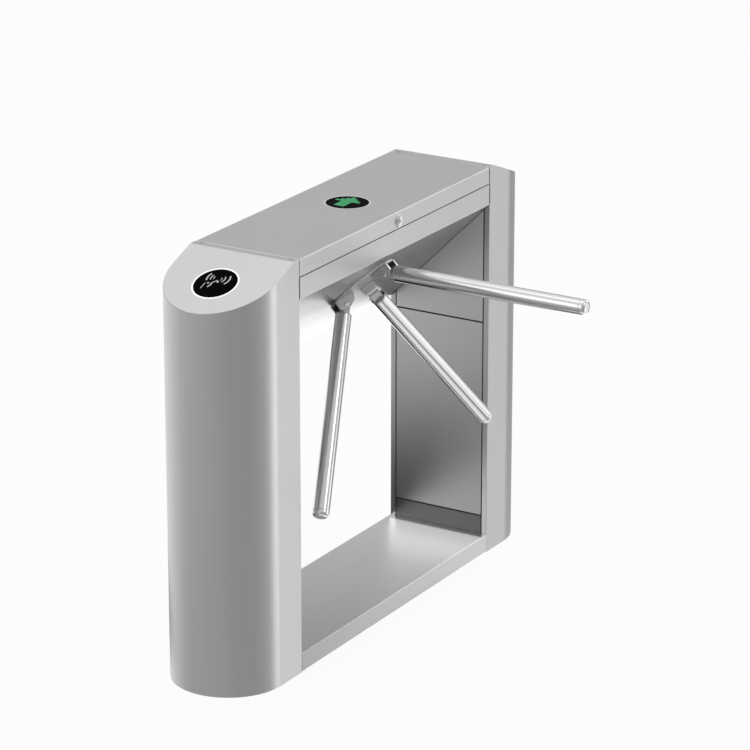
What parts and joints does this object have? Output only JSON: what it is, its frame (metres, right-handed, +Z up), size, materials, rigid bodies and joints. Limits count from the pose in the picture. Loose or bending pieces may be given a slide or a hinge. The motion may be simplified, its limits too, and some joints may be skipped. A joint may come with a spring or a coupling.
{
  "type": "visitor counter turnstile",
  "caption": "Bridge cabinet of brushed steel with round end columns, tilted tripod hub with drop arms, lid indicator and badge readers.",
  "frame": {"origin": "middle of the footprint on the floor", "axes": "+X along the cabinet from the left column to the right one, -Y towards the passage that the arms close, +Z up"},
  "size_m": [1.2998, 0.7673, 0.981],
  "materials": {
    "cabinet_steel": "brushed",
    "arm_steel": "satin",
    "hub_steel": "satin",
    "root_metal": "satin",
    "bright_pin": "polished",
    "light_ring": "satin",
    "window_black": "polished",
    "housing_black": "matte",
    "mechanism_zinc": "satin",
    "casting_grey": "matte",
    "coil_dark": "satin",
    "board_green": "satin",
    "supply_metal": "satin"
  },
  "bodies": {
    "cabinet": {"column_left": "cabinet_steel", "door_left": "cabinet_steel", "kick_plate_left": "cabinet_steel", "upper_panel_left": "cabinet_steel", "foot_plate_left": "mechanism_zinc", "reader_ring_left": "light_ring", "reader_window_left": "window_black", "reader_housing_left": "housing_black", "solenoid_left": "coil_dark", "column_right": "cabinet_steel", "door_right": "cabinet_steel", "kick_plate_right": "cabinet_steel", "upper_panel_right": "cabinet_steel", "foot_plate_right": "mechanism_zinc", "reader_ring_right": "light_ring", "reader_window_right": "window_black", "reader_housing_right": "housing_black", "solenoid_right": "coil_dark", "base_plinth": "cabinet_steel", "head_shell": "cabinet_steel", "lid_catch": "mechanism_zinc", "lid_hinge_fixed": "mechanism_zinc", "mechanism_plate": "mechanism_zinc", "bearing_housing": "casting_grey", "bearings": "bright_pin", "carrier_plate": "mechanism_zinc", "standoffs": "mechanism_zinc", "position_sensors": "housing_black", "control_board": "board_green", "power_supply": "supply_metal"},
    "lid": {"lid": "cabinet_steel", "indicator_ring": "light_ring", "indicator_window": "window_black", "indicator_housing": "housing_black", "lock_body": "bright_pin", "lid_hinge_moving": "mechanism_zinc"},
    "lock": {"lock_plug": "bright_pin"},
    "hub": {"hub_disc": "hub_steel", "clevis_a": "hub_steel", "clevis_b": "hub_steel", "clevis_c": "hub_steel", "arm_pins": "bright_pin", "hold_magnets": "housing_black", "main_shaft": "bright_pin", "lock_wheel": "mechanism_zinc", "sensor_disc": "mechanism_zinc"},
    "arm_a": {"arm_root_a": "root_metal", "arm_tube_a": "arm_steel", "arm_cap_a": "arm_steel"},
    "arm_b": {"arm_root_b": "root_metal", "arm_tube_b": "arm_steel", "arm_cap_b": "arm_steel"},
    "arm_c": {"arm_root_c": "root_metal", "arm_tube_c": "arm_steel", "arm_cap_c": "arm_steel"},
    "pawl_left": {"pawl_left": "mechanism_zinc"},
    "plunger_left": {"plunger_left": "bright_pin"},
    "pawl_right": {"pawl_right": "mechanism_zinc"},
    "plunger_right": {"plunger_right": "bright_pin"}
  },
  "joints": [
    {"name": "hub_turn", "type": "hinge", "parent": "cabinet", "child": "hub", "pos_m": [0, -0.04188, 0.79388], "axis": [0, -0.7071, -0.7071], "continuous": true},
    {"name": "arm_drop_a", "type": "hinge", "parent": "hub", "child": "arm_a", "pos_m": [0, -0.10927, 0.8315], "axis": [1, 0, 0], "range_deg": [0, 90]},
    {"name": "arm_drop_b", "type": "hinge", "parent": "hub", "child": "arm_b", "pos_m": [0.0643, -0.03052, 0.75275], "axis": [-0.5, 0.6124, -0.6124], "range_deg": [0, 45]},
    {"name": "arm_drop_c", "type": "hinge", "parent": "hub", "child": "arm_c", "pos_m": [-0.0643, -0.03052, 0.75275], "axis": [-0.5, -0.6124, 0.6124], "range_deg": [0, 45]},
    {"name": "lid_open", "type": "hinge", "parent": "cabinet", "child": "lid", "pos_m": [0, 0.1392, 0.9392], "axis": [-1, 0, 0], "range_deg": [0, 100]},
    {"name": "lock_turn", "type": "hinge", "parent": "lid", "child": "lock", "pos_m": [0, -0.136, 0.9575], "axis": [0, -1, 0], "range_deg": [0, 90]},
    {"name": "pawl_swing_right", "type": "hinge", "parent": "cabinet", "child": "pawl_right", "pos_m": [0.084, 0.05216, 0.81722], "axis": [0, -0.7071, -0.7071], "range_deg": [0, 11.5], "stiffness_Nm_per_rad": 0.05, "springref_deg": -28.65},
    {"name": "plunger_slide_right", "type": "slide", "parent": "cabinet", "child": "plunger_right", "axis": [-1, 0, 0], "range_m": [0, 0.0151]},
    {"name": "pawl_swing_left", "type": "hinge", "parent": "cabinet", "child": "pawl_left", "pos_m": [-0.084, 0.05216, 0.81722], "axis": [0, 0.7071, 0.7071], "range_deg": [0, 11.5], "stiffness_Nm_per_rad": 0.05, "springref_deg": -28.65},
    {"name": "plunger_slide_left", "type": "slide", "parent": "cabinet", "child": "plunger_left", "axis": [1, 0, 0], "range_m": [0, 0.0151]}
  ],
  "couplings": [
    {"joint": "plunger_slide_right", "follows": "pawl_swing_right", "m_per_rad": 0.075},
    {"joint": "plunger_slide_left", "follows": "pawl_swing_left", "m_per_rad": 0.075}
  ]
}
